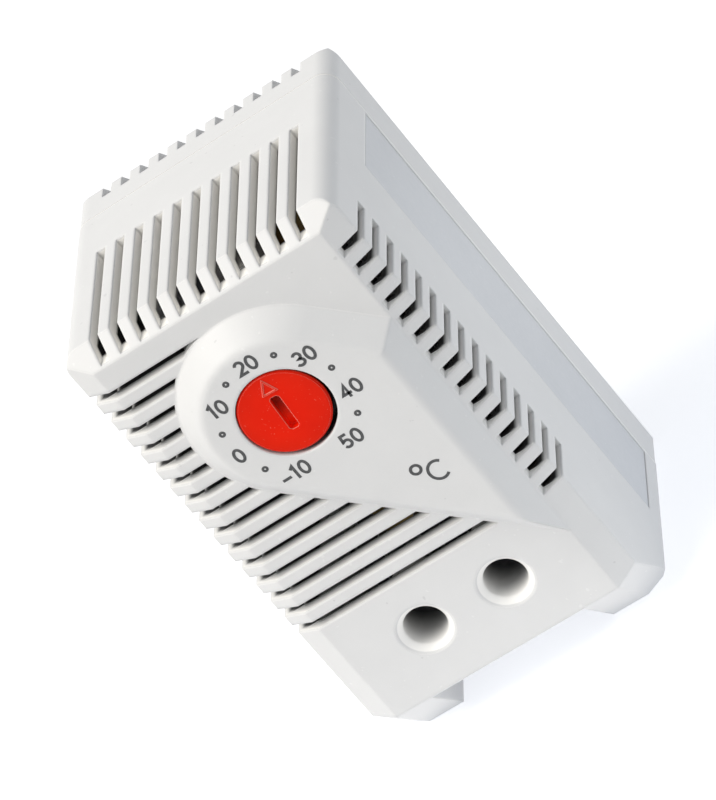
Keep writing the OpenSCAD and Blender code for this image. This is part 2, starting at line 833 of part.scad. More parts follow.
// Flat brass bar from the left terminal to the root of the strip
module strip_bar() {
    left = -term_x - bar_w / 2;
    color("goldenrod") placed() difference() {
        along_y(bar_y, bar_back)
            polygon([[left, well_low + fit_gap], [left + bar_w, well_low + fit_gap],
                     [left + bar_w, plate_low], [plate_right, plate_low],
                     [plate_right, plate_high], [left, plate_high]]);
        for (x = [-rivet_x, rivet_x])
            translate([x, 0, rivet_z]) rod(rivet_r + press_gap, bar_y - past, bar_back + past);
        translate([strip_screw_x, 0, rivet_z]) rod(small_r + run_gap, bar_y - past, bar_back + past);
    }
}

// Folded brass bar from the right terminal up to the fixed contact
module contact_bar() {
    left = term_x - bar_w / 2;
    right = term_x + bar_w / 2;
    top = contact_z + contact_r + 1;
    head_left = -magnet_half - 0.7;
    color("goldenrod") placed() difference() {
        union() {
            along_x(left, right)
                polygon([[bar_y, well_low + fit_gap], [bar_back, well_low + fit_gap], [bar_back, fold_z],
                         [spine_y, fold_z], [spine_y, top], [spine_bar_y, top],
                         [spine_bar_y, fold_z + bar_t], [bar_y, fold_z + bar_t]]);
            block([head_left, spine_bar_y, magnet_low - 0.6], [left + past, spine_y, top]);
        }
        translate([0, 0, contact_z]) rod(rivet_r + press_gap, spine_bar_y - past, spine_y + past);
        translate([term_x, 0, contact_screw_z]) rod(small_r + run_gap, spine_bar_y - past, spine_y + past);
    }
}

module bimetal_strip() {
    corner = 1.2;
    half = strip_w / 2;
    color("lightslategray") placed() difference() {
        along_y(strip_y, strip_back)
            polygon([[-half, strip_low], [half, strip_low],
                     [half, strip_high - corner], [half - corner, strip_high],
                     [-half + corner, strip_high], [-half, strip_high - corner]]);
        for (x = [-rivet_x, rivet_x])
            translate([x, 0, rivet_z]) rod(rivet_r + strip_gap, strip_y - past, strip_back + past);
        translate([0, 0, contact_z]) rod(rivet_r + press_gap, strip_y - past, strip_back + past);
    }
}

module strip_rivets() {
    color("silver") placed() for (x = [-rivet_x, rivet_x]) translate([x, 0, rivet_z]) {
        rod(rivet_head_r, strip_y - strip_gap - rivet_head_t, strip_y - strip_gap);
        rod(rivet_r, strip_y - strip_gap - rivet_head_t / 2, bar_back + rivet_head_t / 2);
        rod(rivet_head_r, bar_back, bar_back + rivet_head_t);
    }
}

module armature() {
    color("gray") placed() difference() {
        block([-armature_half, strip_back, armature_low],
              [armature_half, armature_back, contact_z + contact_r]);
        translate([0, 0, contact_z]) rod(rivet_r + press_gap, strip_back - past, armature_back + past);
    }
}

// Contact button with a bevelled face, from its seat to its face along +Y
module contact_button(r, seat, face) {
    bevel = 0.3;
    rod(r, min(seat, face - bevel), face - bevel);
    translate([0, face, 0]) rotate([90, 0, 0]) cylinder(h = bevel, r1 = r - bevel, r2 = r);
}

module moving_contact() {
    color("silver") placed() translate([0, 0, contact_z]) {
        contact_button(contact_r, armature_back, moving_face);
        rod(rivet_r, strip_y - rivet_head_t / 2, armature_back + past / 2);
        rod(rivet_head_r, strip_y - rivet_head_t, strip_y);
    }
}

module fixed_contact() {
    color("silver") placed() translate([0, 0, contact_z]) {
        mirror([0, 1, 0]) contact_button(contact_r + 0.2, -spine_bar_y, -fixed_face);
        rod(rivet_r, spine_bar_y - past / 2, spine_y + rivet_head_t / 2);
        rod(rivet_head_r, spine_y, spine_y + rivet_head_t);
    }
}

module snap_magnet() {
    color("dimgray") placed()
        block([-magnet_half, armature_back + magnet_gap, magnet_low],
              [magnet_half, spine_bar_y, magnet_high]);
}

// Slotted and crossed head recess, drawn in X and Z
module drive_recess(r) {
    across = 1.7 * r;
    thick = 0.32 * r;
    square([across, thick], center = true);
    square([thick, across], center = true);
}

module terminal_screw(x) {
    color("silver") placed() translate([x, 0, term_z]) difference() {
        union() {
            rod(screw_head_r, head_y, thread_y);
            rod(screw_r, thread_y - past / 2, tip_y);
        }
        along_y(head_y - past, head_y + recess_depth) drive_recess(screw_head_r);
    }
}

// Cage that is drawn forward by its screw and clamps the wire against the bar
module terminal_cage(x) {
    half = cage_w / 2;
    color("silver") placed() translate([x, 0, term_z]) difference() {
        block([-half, cage_y, -cage_h / 2], [half, cage_back, cage_h / 2]);
        block([-half + cage_side_t, cage_y + cage_front_t, -cage_h],
              [half - cage_side_t, cage_back - cage_rear_t, cage_h]);
        rod(screw_r + thread_room + run_gap, cage_y - past, cage_y + cage_front_t + past);
    }
}

module terminal_screw_left() { terminal_screw(-term_x); }
module terminal_screw_right() { terminal_screw(term_x); }
module terminal_cage_left() { terminal_cage(-term_x); }
module terminal_cage_right() { terminal_cage(term_x); }

// Small screw with its head in front of the seat
module small_screw(seat, depth) {
    difference() {
        union() {
            rod(small_head_r, seat - small_head_t, seat);
            rod(small_r, seat - small_head_t / 2, seat + depth);
        }
        along_y(seat - small_head_t - past, seat - small_head_t / 2) drive_recess(small_head_r);
    }
}

module bar_screws() {
    color("silver") placed() {
        translate([strip_screw_x, 0, rivet_z]) small_screw(bar_y, bar_t + strip_screw_len);
        translate([term_x, 0, contact_screw_z]) small_screw(spine_bar_y, bar_t + contact_screw_len);
    }
}

module carrier_screws() {
    color("silver") placed() {
        both_sides() translate([ear_x, 0, term_z])
            small_screw(carrier_back - ear_t, ear_t + pillar_screw_len);
        translate([spine_screw_x, 0, spine_screw_z])
            small_screw(spine_y, carrier_back - spine_y + pillar_screw_len);
    }
}

front_cover();
rear_base();
rail_latch();
latch_spring();
rating_label();
dial_knob();
setting_spindle();
dial_clip();
setting_nut();
setting_spring();
contact_carrier();
strip_bar();
contact_bar();
bimetal_strip();
strip_rivets();
armature();
moving_contact();
fixed_contact();
snap_magnet();
terminal_screw_left();
terminal_screw_right();
terminal_cage_left();
terminal_cage_right();
bar_screws();
carrier_screws();
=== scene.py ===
"""Rail-mounted thermostat: finishes, printed scale, threads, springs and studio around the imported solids."""
import json
from math import cos, hypot, pi, radians, sin

import bmesh
import bpy
from mathutils import Matrix, Vector


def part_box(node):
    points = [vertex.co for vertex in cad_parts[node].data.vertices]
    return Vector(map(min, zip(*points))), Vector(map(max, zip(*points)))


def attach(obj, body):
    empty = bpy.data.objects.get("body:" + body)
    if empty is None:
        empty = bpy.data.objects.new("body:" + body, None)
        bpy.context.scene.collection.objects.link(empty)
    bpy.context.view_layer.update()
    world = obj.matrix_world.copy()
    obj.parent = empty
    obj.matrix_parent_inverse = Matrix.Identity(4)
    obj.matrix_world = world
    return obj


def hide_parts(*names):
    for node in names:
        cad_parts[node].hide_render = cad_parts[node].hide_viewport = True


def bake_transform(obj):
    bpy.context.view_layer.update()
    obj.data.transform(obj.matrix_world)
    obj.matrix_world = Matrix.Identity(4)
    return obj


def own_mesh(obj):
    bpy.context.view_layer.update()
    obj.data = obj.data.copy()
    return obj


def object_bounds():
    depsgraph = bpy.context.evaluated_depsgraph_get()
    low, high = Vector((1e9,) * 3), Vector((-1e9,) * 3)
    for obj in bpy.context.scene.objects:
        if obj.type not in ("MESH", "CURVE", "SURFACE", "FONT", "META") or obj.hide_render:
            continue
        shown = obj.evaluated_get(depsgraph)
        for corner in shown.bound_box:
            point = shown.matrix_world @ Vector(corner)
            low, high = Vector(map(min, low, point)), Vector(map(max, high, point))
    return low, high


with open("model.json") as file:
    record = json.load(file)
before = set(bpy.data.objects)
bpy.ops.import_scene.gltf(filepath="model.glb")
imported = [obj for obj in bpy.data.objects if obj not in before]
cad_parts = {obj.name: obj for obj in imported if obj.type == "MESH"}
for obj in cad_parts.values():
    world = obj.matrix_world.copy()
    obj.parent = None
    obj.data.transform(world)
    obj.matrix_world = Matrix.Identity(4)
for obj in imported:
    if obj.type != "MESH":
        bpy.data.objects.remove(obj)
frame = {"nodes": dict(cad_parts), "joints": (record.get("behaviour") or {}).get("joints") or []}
cad_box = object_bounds()
nodes = frame["nodes"]

MM = 0.001


def box_of(node):
    """Lowest and highest corner of a solid, as vectors."""
    low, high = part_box(node)
    return Vector(low), Vector(high)


# Places that the finishes, the print and the threads take from the solids
cover_low, cover_high = box_of("front_cover")
dial_low, dial_high = box_of("dial_knob")
label_low, label_high = box_of("rating_label")
driver_low, driver_high = box_of("terminal_screw_right")
dial_x = (dial_low.x + dial_high.x) / 2
dial_z = (dial_low.z + dial_high.z) / 2
driver_x = (driver_low.x + driver_high.x) / 2
driver_z = (driver_low.z + driver_high.z) / 2
boss_face_y = cover_low.y

# Sizes of the housing that its box does not tell
BOSS_H = 3.0 * MM
SIDE_EDGE = (2.6 * MM, 1.6 * MM)
TOP_EDGE = (2.4 * MM, 2.3 * MM)
CORNER_R = 2.0 * MM
DRIVER_R = 2.35 * MM
POCKET_R = 5.3 * MM
front_y = boss_face_y + BOSS_H
dial_r = dial_high.x - dial_x

# Edges that the finishes round off, and how far their colour is lightened along them, as wear and painted
# highlight
COVER_EDGE, PLASTIC_EDGE = 0.52 * MM, 0.35 * MM
METAL_EDGE, DIAL_EDGE, LABEL_EDGE = 0.08 * MM, 0.16 * MM, 0.03 * MM
EDGE_BEND = (0.96, 0.84)
EDGE_SAMPLES = 6
EDGE_WEAR_AND_HIGHLIGHT, DIAL_WEAR_AND_HIGHLIGHT = 0.65, 0.8

# Depths over which the painted shade in the recesses sets in, and where it lies
FRONT_PAINTED_SHADE, TOP_PAINTED_SHADE = (0.8 * MM, 1.9 * MM), (1.1 * MM, 1.6 * MM)
SIDE_PAINTED_SHADE, BEVEL_PAINTED_SHADE = (0.4 * MM, 1.0 * MM), (1.3 * MM, 2.6 * MM)
HOLE_PAINTED_SHADE, POCKET_PAINTED_SHADE = (1.2 * MM, 6.5 * MM), (0.05 * MM, 0.6 * MM)
SLOT_PAINTED_SHADE, RIM_PAINTED_SHADE = (0.25 * MM, 1.1 * MM), (0.35 * MM, 0.7 * MM)
SLOT_SHADE, SLOT_SHADE_SHARE = (-1.2 * MM, 0.9 * MM), 0.7
LOWEST_PAINTED_SHADE = -11.5 * MM
HOLE_REACH = 1.35 * DRIVER_R
SHADED_WAY, SHADED_SPAN = (0.95, 0.31), (-0.6 * POCKET_R, 0.1 * POCKET_R)
PAINTED_SHADE_COLOUR = (0.02, 0.02, 0.021)

# Painted light on the walls of the slots and a painted highlight along the seam
WALL_FROM, SEAM_LINE = (0.16 * MM, 0.24 * MM), (0.3 * MM, 0.2 * MM)
WALL, TOP_WALL, WALL_SHARE = (0.94, 0.935, 0.92), (0.96, 0.945, 0.91), 0.85

# Dial: where its red darkens towards the rim, and the painted light of a brighter red inside its slot
RIM_SHARE = 0.93
RIM_DARK_FROM, RIM_DARK_SHARE, RIM_DARK_RED = 0.4, 0.3, (0.42, 0.014, 0.006)
SLOT_LIT_FROM, SLOT_LIT_SHARE, SLOT_LIT_RED = (0.25 * MM, 0.5 * MM), 0.8, (1.0, 0.03, 0.004)

# Label: a darker band along its cut edges
CUT_DARK_WIDTH, CUT_SHARE = 0.14 * MM, 0.75

# Spans of a noise that are put to use
NOISE_MID, NOISE_WIDE = (0.35, 0.65), (0.3, 0.7)
GRAIN_MM, GRAIN_DEPTH = 0.22, 0.006


class Wire:
    """A socket of a node tree. Sums and products of wires and numbers add Math nodes."""

    def __init__(self, tree, socket):
        self.tree = tree
        self.socket = socket

    def node(self, kind, settings=None, sockets=None, out=0):
        """Adds a node, sets it up, feeds its sockets and gives back one of its outputs."""
        made = self.tree.nodes.new(kind)
        for key, value in (settings or {}).items():
            setattr(made, key, value)
        for key, value in (sockets or {}).items():
            self.feed(pick(made.inputs, key), value)
        return Wire(self.tree, pick(made.outputs, out) if made.outputs else None)

    def feed(self, socket, value):
        if isinstance(value, Wire):
            self.tree.links.new(value.socket, socket)
        else:
            socket.default_value = value

    def math(self, operation, first, second=0.0):
        return self.node("ShaderNodeMath", {"operation": operation}, {0: first, 1: second})

    def __add__(self, other):
        return self.math("ADD", self, other)

    def __radd__(self, other):
        return self.math("ADD", other, self)

    def __sub__(self, other):
        return self.math("SUBTRACT", self, other)

    def __rsub__(self, other):
        return self.math("SUBTRACT", other, self)

    def __mul__(self, other):
        return self.math("MULTIPLY", self, other)

    def __rmul__(self, other):
        return self.math("MULTIPLY", other, self)

    def above(self, other):
        return self.math("GREATER_THAN", self, other)

    def below(self, other):
        return self.math("LESS_THAN", self, other)

    def most(self, other):
        return self.math("MAXIMUM", self, other)

    def least(self, other):
        return self.math("MINIMUM", self, other)

    def size(self):
        return self.math("ABSOLUTE", self)

    def parts(self):
        """The three numbers of a vector."""
        split = self.tree.nodes.new("ShaderNodeSeparateXYZ")
        self.feed(split.inputs[0], self)
        return [Wire(self.tree, socket) for socket in split.outputs]


def pick(sockets, key):
    """A socket by its number, its identifier or its name."""
    if isinstance(key, int):
        return sockets[key]
    for socket in sockets:
        if socket.identifier == key:
            return socket
    return sockets[key]


def blank_material(name):
    """A material with an empty tree, and the wire of its Object coordinates."""
    material = bpy.data.materials.new(name)
    material.use_nodes = True
    tree = material.node_tree
    tree.nodes.clear()
    start = Wire(tree, None)
    return material, start.node("ShaderNodeTexCoord", out="Object")


def noise(place, scale, detail=2.0, roughness=0.5):
    return place.node("ShaderNodeTexNoise", {}, {"Vector": place, "Scale": scale, "Detail": detail,
                                                  "Roughness": roughness}, "Fac")


def tint(place, factor, low, high):
    """A colour that runs from low to high with the factor. Each end is a wire or three numbers."""
    ends = [end if isinstance(end, Wire) else (*end, 1.0) for end in (low, high)]
    return place.node("ShaderNodeMix", {"data_type": "RGBA"},
                      {"Factor_Float": factor, "A_Color": ends[0], "B_Color": ends[1]}, "Result_Color")


def spread(place, factor, low, high, to_low=0.0, to_high=1.0, kind="LINEAR"):
    """Maps low..high of a factor to another span."""
    return place.node("ShaderNodeMapRange", {"interpolation_type": kind},
                      {"Value": factor, "From Min": low, "From Max": high,
                       "To Min": to_low, "To Max": to_high}, "Result")


def squared(*spans):
    """Square of the distance that spans along the axes make."""
    return sum(span * span for span in spans)


def bump(place, height, distance, normal):
    return place.node("ShaderNodeBump", {},
                      {"Height": height, "Distance": distance, "Normal": normal}, "Normal")


def broken_edges(place, radius):
    """A normal that rounds the edges off, and a mask that is 1 along them."""
    rounded = place.node("ShaderNodeBevel", {"samples": EDGE_SAMPLES}, {"Radius": radius}, "Normal")
    flat = place.node("ShaderNodeNewGeometry", out="Normal")
    bend = place.node("ShaderNodeVectorMath", {"operation": "DOT_PRODUCT"}, {0: rounded, 1: flat}, "Value")
    return rounded, spread(place, bend, *EDGE_BEND)


def close_material(material, place, sockets):
    """Ends a tree in one Principled shader."""
    shader = place.node("ShaderNodeBsdfPrincipled", {}, sockets, "BSDF")
    place.node("ShaderNodeOutputMaterial", {}, {"Surface": shader})
    return material


def plastic_tree(name, colour, shade, rough, grain_mm, grain_depth, edge_r):
    """Moulded plastic with an eroded grain, faint flow clouds and specks. Gives what close_material needs."""
    material, place = blank_material(name)
    clouds = noise(place, 70.0, 3.0)
    grain = noise(place, 1.0 / (grain_mm * MM), 3.0, 0.65)
    flow = noise(place, 320.0, 2.0)
    pale = noise(place, 1500.0, 1.0).above(0.76)
    dark = noise(place, 1150.0, 1.0).below(0.215)
    mixed = 0.55 * clouds + 0.25 * flow + 0.2 * grain
    skin = tint(place, spread(place, mixed, *NOISE_MID), shade, colour)
    skin = tint(place, pale * 0.25, skin, (0.9, 0.9, 0.9))
    skin = tint(place, dark * 0.2, skin, (0.3, 0.3, 0.31))
    rounded, edge = broken_edges(place, edge_r)
    # Edges lightened, partly as wear and partly as a painted highlight
    skin = tint(place, edge * EDGE_WEAR_AND_HIGHLIGHT, skin, [1.0 - 0.12 * (1.0 - part) for part in colour])
    rough_wire = spread(place, 0.7 * grain + 0.3 * clouds, *NOISE_WIDE, rough - 0.06, rough + 0.06)
    sockets = {"Base Color": skin, "Roughness": rough_wire,
               "Normal": bump(place, grain, grain_depth * MM, rounded),
               "IOR": 1.5, "Specular IOR Level": 0.4}
    return material, place, sockets


def moulded_plastic(name, colour, shade, rough, grain_mm=GRAIN_MM, grain_depth=GRAIN_DEPTH):
    return close_material(*plastic_tree(name, colour, shade, rough, grain_mm, grain_depth, PLASTIC_EDGE))


def depth_below(inside, beyond, edge):
    """Depth below a bevel that takes edge[0] off one face and edge[1] off the front."""
    slant = hypot(*edge)
    return inside * (edge[0] / slant) - beyond * (edge[1] / slant)


def vented_plastic(name, colour, shade, rough):
    """The cover's plastic, with painted shade in its vents, driver holes and dial pocket, and painted light on
    its slot walls.
    """
    material, place, sockets = plastic_tree(name, colour, shade, rough, GRAIN_MM, GRAIN_DEPTH, COVER_EDGE)
    x, y, z = place.parts()
    side = x.size()
    inside = y - front_y

    # Depth below the nearest outer face
    bevel_x = cover_high.x - SIDE_EDGE[0]
    bevel_z = cover_high.z - TOP_EDGE[0]
    out = (side - (cover_high.x - CORNER_R)).most(0.0)
    up = (z - (cover_high.z - CORNER_R)).most(0.0)
    skin_depth = CORNER_R - place.math("SQRT", squared(out, up))
    depth = inside.least(skin_depth).least(depth_below(inside, side - bevel_x, SIDE_EDGE))
    depth = depth.least(depth_below(inside, z - bevel_z, TOP_EDGE))

    # Painted shade deep in the vents, which differs from face to face
    grille = spread(place, z, LOWEST_PAINTED_SHADE - MM, LOWEST_PAINTED_SHADE)
    on_top = z.above(bevel_z)
    outer = side.above(bevel_x) * (1.0 - on_top)
    on_side = outer * inside.above(SIDE_EDGE[1])
    zones = ((1.0 - on_top.most(outer), FRONT_PAINTED_SHADE), (on_top, TOP_PAINTED_SHADE), (on_side, SIDE_PAINTED_SHADE),
             (outer - on_side, BEVEL_PAINTED_SHADE))
    vents = grille * sum(zone * spread(place, depth, *reach, kind="SMOOTHSTEP") for zone, reach in zones)

    # Painted shade deep in the driver holes and on the shaded side of the dial's pocket
    at_hole = squared(side - driver_x, z - driver_z).below(HOLE_REACH ** 2)
    holes = at_hole * spread(place, inside, *HOLE_PAINTED_SHADE)
    at_pocket = squared(x - dial_x, z - dial_z).below(POCKET_R ** 2)
    pocket = at_pocket * spread(place, y - boss_face_y, *POCKET_PAINTED_SHADE)
    shaded = (x - dial_x) * SHADED_WAY[0] + (z - dial_z) * SHADED_WAY[1]
    pocket = pocket * spread(place, shaded, *SHADED_SPAN)

    # Painted light on the walls of the slots and a painted highlight along the seam
    seam = spread(place, y, cover_high.y - SEAM_LINE[0], cover_high.y - SEAM_LINE[1])
    painted_light = (spread(place, depth, *WALL_FROM) * grille.most(at_hole)).most(seam)
    skin = tint(place, painted_light * WALL_SHARE, sockets["Base Color"], tint(place, on_top, WALL, TOP_WALL))
    # Painted shade: the vents, driver holes and pocket darkened towards near-black
    sockets["Base Color"] = tint(place, vents.most(holes).most(pocket), skin, PAINTED_SHADE_COLOUR)
    return close_material(material, place, sockets)


def worked_metal(name, colour, shade, rough, streak=(1.0, 1.0, 1.0), grain_mm=0.12, depth=0.002):
    """Stamped, drawn or plated metal with streaks along one direction and a dull bloom."""
    material, place = blank_material(name)
    drawn = place.node("ShaderNodeMapping", {}, {"Vector": place, "Scale": streak}, "Vector")
    lines = noise(drawn, 1.0 / (grain_mm * MM), 2.0)
    bloom = noise(place, 260.0, 4.0, 0.6)
    mixed = 0.5 * lines + 0.5 * bloom
    rough_wire = spread(place, mixed, *NOISE_WIDE, rough - 0.08, rough + 0.08)
    rounded, edge = broken_edges(place, METAL_EDGE)
    skin = tint(place, spread(place, mixed, *NOISE_MID), shade, colour)
    # Edges lightened, partly as wear and partly as a painted highlight
    skin = tint(place, edge * EDGE_WEAR_AND_HIGHLIGHT, skin, [0.5 + 0.5 * part for part in colour])
    return close_material(material, place, {"Base Color": skin, "Roughness": rough_wire, "Metallic": 1.0,
                                            "Normal": bump(place, lines, depth * MM, rounded)})


def glossy_red(name):
    """Bright moulded red with specks of dust, darker towards the rim, with painted light and shade in the slot
    and painted shade down its side.
    """
    material, place = blank_material(name)
    clouds = noise(place, 180.0, 3.0)
    specks = noise(place, 5200.0, 1.0).above(0.74)
    fine = noise(place, 5200.0, 3.0, 0.6)
    red = tint(place, spread(place, clouds, *NOISE_WIDE), (0.76, 0.012, 0.0015), (0.86, 0.017, 0.0015))
    red = tint(place, specks * 0.35, red, (0.86, 0.3, 0.24))
    rounded, edge = broken_edges(place, DIAL_EDGE)
    # Edges lightened, partly as wear and partly as a painted highlight
    red = tint(place, edge * DIAL_WEAR_AND_HIGHLIGHT, red, (0.95, 0.42, 0.33))
    x, y, z = place.parts()
    sunk = y - dial_low.y
    outside = squared(x - dial_x, z - dial_z)
    # Darker towards the rim
    rim_dark = spread(place, outside, (RIM_DARK_FROM * dial_r) ** 2, dial_r ** 2, 0.0, RIM_DARK_SHARE)
    red = tint(place, rim_dark, red, RIM_DARK_RED)
    # Painted light: a brighter red deep in the slot
    red = tint(place, spread(place, sunk, *SLOT_LIT_FROM, 0.0, SLOT_LIT_SHARE), red, SLOT_LIT_RED)
    # Painted shade: darker deep in the slot, more so towards its upper end, and down the dial's side
    slot_painted_shade = spread(place, sunk, *SLOT_PAINTED_SHADE) * spread(place, z - dial_z, *SLOT_SHADE, 0.0, SLOT_SHADE_SHARE)
    rim_painted_shade = outside.above((RIM_SHARE * dial_r) ** 2) * spread(place, sunk, *RIM_PAINTED_SHADE)
    red = tint(place, slot_painted_shade.most(rim_painted_shade), red, (0.012, 0.0, 0.0))
    rough_wire = spread(place, 0.6 * clouds + 0.4 * fine, *NOISE_WIDE, 0.3, 0.42) + specks * 0.3
    return close_material(material, place, {"Base Color": red, "Roughness": rough_wire, "IOR": 1.5,
                                            "Specular IOR Level": 0.07,
                                            "Normal": bump(place, fine, 0.002 * MM, rounded)})


def label_film():
    """Smooth film with a faint orange-peel, slightly cooler than the plastic, darker along its cut edges."""
    material, place = blank_material("label_film")
    peel = noise(place, 1400.0, 2.0)
    clouds = noise(place, 60.0, 2.0)
    specks = noise(place, 1700.0, 1.0).above(0.75)
    grey = tint(place, spread(place, clouds, *NOISE_MID), (0.585, 0.603, 0.632), (0.622, 0.64, 0.67))
    grey = tint(place, specks * 0.4, grey, (0.8, 0.81, 0.82))
    rounded, _ = broken_edges(place, LABEL_EDGE)
    _, y, z = place.parts()
    inset = (y - label_low.y).least(z - label_low.z).least(label_high.z - z)
    grey = tint(place, spread(place, inset, 0.0, CUT_DARK_WIDTH, CUT_SHARE, 0.0), grey, (0.12, 0.12, 0.125))
    rough_wire = spread(place, peel, *NOISE_WIDE, 0.38, 0.5)
    return close_material(material, place, {"Base Color": grey, "Roughness": rough_wire, "IOR": 1.48,
                                            "Normal": bump(place, peel, 0.003 * MM, rounded)})


def printing_ink():
    """Dark grey pad-printed ink, thin at places where the grain shows through."""
    material, place = blank_material("printing_ink")
    wear = noise(place, 4200.0, 3.0, 0.6)
    ink = tint(place, spread(place, wear, 0.4, 0.75), (0.045, 0.047, 0.05), (0.1, 0.102, 0.105))
    rough_wire = spread(place, wear, *NOISE_WIDE, 0.5, 0.62)
    level = place.node("ShaderNodeNewGeometry", out="Normal")
    return close_material(material, place, {"Base Color": ink, "Roughness": rough_wire, "IOR": 1.5,
                                            "Normal": bump(place, wear, 0.002 * MM, level)})


SHELL = ((0.73, 0.733, 0.738), (0.695, 0.698, 0.703), 0.5)
FINISHES = {
    "cover": vented_plastic("cover_plastic", *SHELL),
    "base": moulded_plastic("base_plastic", *SHELL),
    "latch": moulded_plastic("latch_plastic", (0.70, 0.70, 0.70), (0.66, 0.66, 0.66), 0.45),
    "nut": moulded_plastic("nut_plastic", (0.80, 0.79, 0.75), (0.76, 0.75, 0.71), 0.4, 0.15, 0.003),
    "insert": moulded_plastic("insert_plastic", (0.055, 0.056, 0.06), (0.04, 0.041, 0.045), 0.45,
                              0.18, 0.005),
    "dial": glossy_red("dial_red"),
    "label": label_film(),
    "ink": printing_ink(),
    "brass": worked_metal("terminal_brass", (0.66, 0.48, 0.21), (0.54, 0.38, 0.15), 0.36, (1.0, 1.0, 0.08)),
    "bimetal": worked_metal("strip_bimetal", (0.56, 0.55, 0.53), (0.45, 0.44, 0.43), 0.32, (1.0, 1.0, 0.05)),
    "zinc": worked_metal("plated_zinc", (0.66, 0.67, 0.69), (0.55, 0.56, 0.58), 0.3),
    "spring": worked_metal("spring_wire", (0.58, 0.58, 0.6), (0.47, 0.47, 0.49), 0.26),
    "silver": worked_metal("contact_silver", (0.86, 0.85, 0.82), (0.74, 0.73, 0.70), 0.28),
    "magnet": worked_metal("magnet_nickel", (0.5, 0.49, 0.48), (0.4, 0.39, 0.385), 0.4),
}

NODE_FINISH = {
    "front_cover": "cover", "rear_base": "base", "rail_latch": "latch", "rating_label": "label",
    "dial_knob": "dial", "setting_spindle": "brass", "dial_clip": "spring", "setting_nut": "nut",
    "setting_spring": "spring", "latch_spring": "spring", "contact_carrier": "insert",
    "strip_bar": "brass", "contact_bar": "brass", "bimetal_strip": "bimetal", "strip_rivets": "brass",
    "armature": "zinc", "moving_contact": "silver", "fixed_contact": "silver", "snap_magnet": "magnet",
    "terminal_screw_left": "zinc", "terminal_screw_right": "zinc", "terminal_cage_left": "zinc",
    "terminal_cage_right": "zinc", "bar_screws": "zinc", "carrier_screws": "zinc",
}

for node_name, finish in NODE_FINISH.items():
    mesh = nodes[node_name].data
    mesh.materials.clear()
    mesh.materials.append(FINISHES[finish])


def link_piece(name, mesh, finish, body=None):
    """Shows a finished mesh as a piece, which rides on a body where one is given."""
    piece = bpy.data.objects.new(name, mesh)
    bpy.context.scene.collection.objects.link(piece)
    mesh.materials.clear()
    mesh.materials.append(FINISHES[finish])
    if body:
        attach(piece, body)
    return piece


def settled(holder):
    """The plain mesh of an object with its modifiers, which is then taken away."""
    evaluated = holder.evaluated_get(bpy.context.evaluated_depsgraph_get())
    mesh = bpy.data.meshes.new_from_object(evaluated)
    bpy.data.objects.remove(holder)
    return mesh


HOUSING = "housing"

# Strokes of the printed figures, in a box one unit high whose middle is 0, 0.5
ARC_STEP = radians(12)


def arc(centre, across, tall, start, end):
    """Points of a stretch of an ellipse, from one angle in degrees to another."""
    steps = max(2, round(abs(radians(end - start)) / ARC_STEP))
    angles = [radians(start + (end - start) * i / steps) for i in range(steps + 1)]
    return [(centre[0] + across * cos(a), centre[1] + tall * sin(a)) for a in angles]


FIGURES = {
    "0": [arc((0.0, 0.5), 0.26, 0.43, 0, 360)],
    "1": [[(-0.17, 0.76), (0.04, 0.93), (0.04, 0.0)]],
    "2": [arc((0.0, 0.68), 0.24, 0.25, 165, -40) + [(-0.25, 0.07), (0.28, 0.07)]],
    "3": [arc((-0.02, 0.71), 0.22, 0.22, 155, -80) + arc((-0.02, 0.28), 0.26, 0.215, 80, -155)],
    "4": [[(0.1, 0.0), (0.1, 0.88), (-0.27, 0.29), (0.3, 0.29)]],
    "5": [[(0.22, 0.93), (-0.17, 0.93), (-0.21, 0.5)] + arc((-0.01, 0.32), 0.25, 0.25, 130, -150)],
    "-": [[(-0.3, 0.36), (0.3, 0.36)]],
    "C": [arc((0.0, 0.5), 0.4, 0.43, 48, 312)],
    "°": [arc((0.0, 0.5), 0.4, 0.4, 0, 360)],
}
FIGURE_WIDE = {"1": 0.54, "-": 0.76}
USUAL_WIDE = 0.75
CLOSE_BY, LEAST_MITRE = 1e-9, 0.4


def ribbon(sheet, points, width):
    """Adds a flat stroke of ink along points in the XY plane, with mitred bends."""
    closed = hypot(points[0][0] - points[-1][0], points[0][1] - points[-1][1]) < CLOSE_BY
    spots = [Vector(p) for p in (points[:-1] if closed else points)]
    count = len(spots)
    left, right = [], []
    for i, spot in enumerate(spots):
        before = spot - spots[i - 1] if closed or i > 0 else None
        after = spots[(i + 1) % count] - spot if closed or i < count - 1 else None
        sides = [Vector((-d.y, d.x)).normalized() for d in (before, after) if d]
        side = sum(sides, Vector((0.0, 0.0))).normalized()
        reach = width / 2 / max(side.dot(sides[0]), LEAST_MITRE)
        left.append(sheet.verts.new((*(spot + side * reach), 0.0)))
        right.append(sheet.verts.new((*(spot - side * reach), 0.0)))
    for i in range(count if closed else count - 1):
        j = (i + 1) % count
        sheet.faces.new((left[i], right[i], right[j], left[j]))


def figures(sheet, words, height, width, place):
    """Adds a row of figures, centred on the origin of the XY plane and then put in place."""
    wides = [FIGURE_WIDE.get(figure, USUAL_WIDE) for figure in words]
    at = -sum(wides) / 2
    row = bmesh.new()
    for figure, wide in zip(words, wides):
        for stroke in FIGURES[figure]:
            ribbon(row, [((at + wide / 2 + x) * height, (y - 0.5) * height) for x, y in stroke], width)
        at += wide
    mesh = bpy.data.meshes.new("figures")
    row.to_mesh(mesh)
    row.free()
    mesh.transform(place)
    sheet.from_mesh(mesh)


